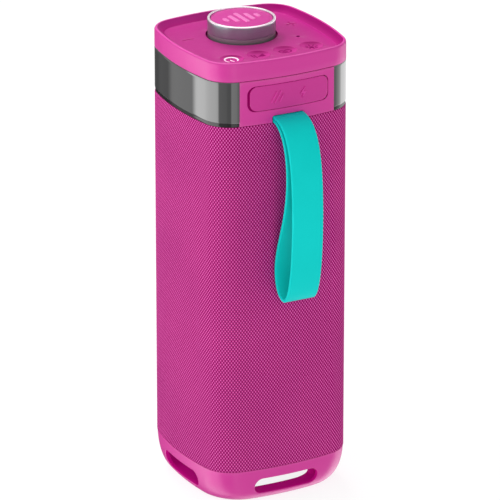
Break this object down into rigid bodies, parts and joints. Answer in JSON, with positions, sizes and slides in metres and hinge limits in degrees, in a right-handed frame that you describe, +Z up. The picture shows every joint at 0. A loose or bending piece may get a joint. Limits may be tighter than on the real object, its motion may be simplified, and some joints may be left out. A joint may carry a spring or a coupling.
{
  "type": "portable shower speaker",
  "caption": "Soft-square tower speaker with fabric sleeve, smoked light band, volume knob, dished keys, port flap, carry strap and sound slots in the base.",
  "frame": {"origin": "centre of the underside of the foot ring, where the speaker stands", "axes": "+Z up the tower; -Y is the face with the port flap and the strap; +X to the right when that face is seen from in front"},
  "size_m": [0.08, 0.1, 0.2337],
  "materials": {
    "magenta_plastic": "satin moulded ABS with a fine texture",
    "fabric": "two-tone woven polyester, about 1.5 mm weave",
    "smoked_lens": "smoked translucent polycarbonate, polished",
    "teal_silicone": "soft matt silicone",
    "black_rubber": "matt rubber",
    "black_plastic": "moulded ABS",
    "knob_side": "dark tinted gloss",
    "knob_face": "polished plastic",
    "chrome": "bright plated ring",
    "steel": "zinc plated",
    "magnet_steel": "ferrite and plated steel",
    "cone_paper": "pressed pulp with a light grain",
    "circuit_board": "solder mask",
    "chip_black": "epoxy",
    "led_white": "yellow-white phosphor in a white body",
    "reflector": "metallised inner tube",
    "cell_wrap": "heat-shrink wrap",
    "cable_red": "PVC insulation",
    "ribbon_amber": "polyimide film"
  },
  "bodies": {
    "housing": {"base_housing": "magenta_plastic", "foot_pad": "black_rubber", "base_screws": "steel", "radiator_surround": "black_rubber", "radiator_clamp": "black_plastic", "radiator_screws": "steel", "cabinet": "black_plastic", "left_basket": "black_plastic", "left_magnet": "magnet_steel", "left_surround": "black_rubber", "right_basket": "black_plastic", "right_magnet": "magnet_steel", "right_surround": "black_rubber", "driver_screws": "steel", "battery_cells": "cell_wrap", "battery_holder": "black_plastic", "battery_board": "circuit_board", "battery_cable": "chip_black", "speaker_wires": "cable_red", "holder_screws": "steel", "cabinet_lid": "black_plastic", "grille_shell": "black_plastic", "fabric_sleeve": "fabric", "led_board": "circuit_board", "leds": "led_white", "light_reflector": "reflector", "light_band": "smoked_lens", "port_block": "magenta_plastic", "flap_pin": "steel", "usb_socket": "steel", "aux_socket": "chip_black", "strap_root": "teal_silicone", "strap_pin": "steel", "main_board": "circuit_board", "board_chips": "chip_black", "key_board": "circuit_board", "key_switches": "steel", "microphone": "steel", "board_ribbon": "ribbon_amber", "board_screws": "steel", "encoder_body": "steel", "top_cap": "magenta_plastic", "cap_gasket": "black_rubber", "cap_screws": "steel"},
    "knob": {"encoder_shaft": "steel", "knob_skirt": "knob_side", "knob_ring": "chrome", "knob_disc": "knob_face"},
    "power_button": {"power_key": "magenta_plastic"},
    "play_button": {"play_key": "magenta_plastic"},
    "link_button": {"link_key": "magenta_plastic"},
    "light_button": {"light_key": "magenta_plastic"},
    "flap": {"port_flap": "magenta_plastic"},
    "strap": {"strap_loop": "teal_silicone"},
    "left_diaphragm": {"left_cone": "cone_paper"},
    "right_diaphragm": {"right_cone": "cone_paper"},
    "radiator": {"radiator_plate": "steel"}
  },
  "joints": [
    {"name": "knob_turn", "type": "hinge", "parent": "housing", "child": "knob", "pos_m": [0, 0.0085, 0.229], "axis": [0, 0, 1], "continuous": true},
    {"name": "power_press", "type": "slide", "parent": "housing", "child": "power_button", "axis": [0, 0, -1], "range_m": [0, 0.0006], "stiffness_N_per_m": 900},
    {"name": "play_press", "type": "slide", "parent": "housing", "child": "play_button", "axis": [0, 0, -1], "range_m": [0, 0.0006], "stiffness_N_per_m": 900},
    {"name": "link_press", "type": "slide", "parent": "housing", "child": "link_button", "axis": [0, 0, -1], "range_m": [0, 0.0006], "stiffness_N_per_m": 900},
    {"name": "light_press", "type": "slide", "parent": "housing", "child": "light_button", "axis": [0, 0, -1], "range_m": [0, 0.0006], "stiffness_N_per_m": 900},
    {"name": "flap_open", "type": "hinge", "parent": "housing", "child": "flap", "pos_m": [0.0206, -0.03803, 0.2091], "axis": [0, 0, 1], "range_deg": [0, 100]},
    {"name": "strap_lift", "type": "hinge", "parent": "housing", "child": "strap", "pos_m": [-0.0004, -0.0502, 0.19535], "axis": [-1, 0, 0], "range_deg": [0, 90]},
    {"name": "left_cone_stroke", "type": "slide", "parent": "housing", "child": "left_diaphragm", "axis": [-1, 0, 0], "range_m": [-0.0015, 0.0015], "stiffness_N_per_m": 900},
    {"name": "right_cone_stroke", "type": "slide", "parent": "housing", "child": "right_diaphragm", "axis": [1, 0, 0], "range_m": [-0.0015, 0.0015], "stiffness_N_per_m": 900},
    {"name": "radiator_stroke", "type": "slide", "parent": "housing", "child": "radiator", "axis": [0, 0, -1], "range_m": [-0.0025, 0.0025], "stiffness_N_per_m": 1500}
  ]
}
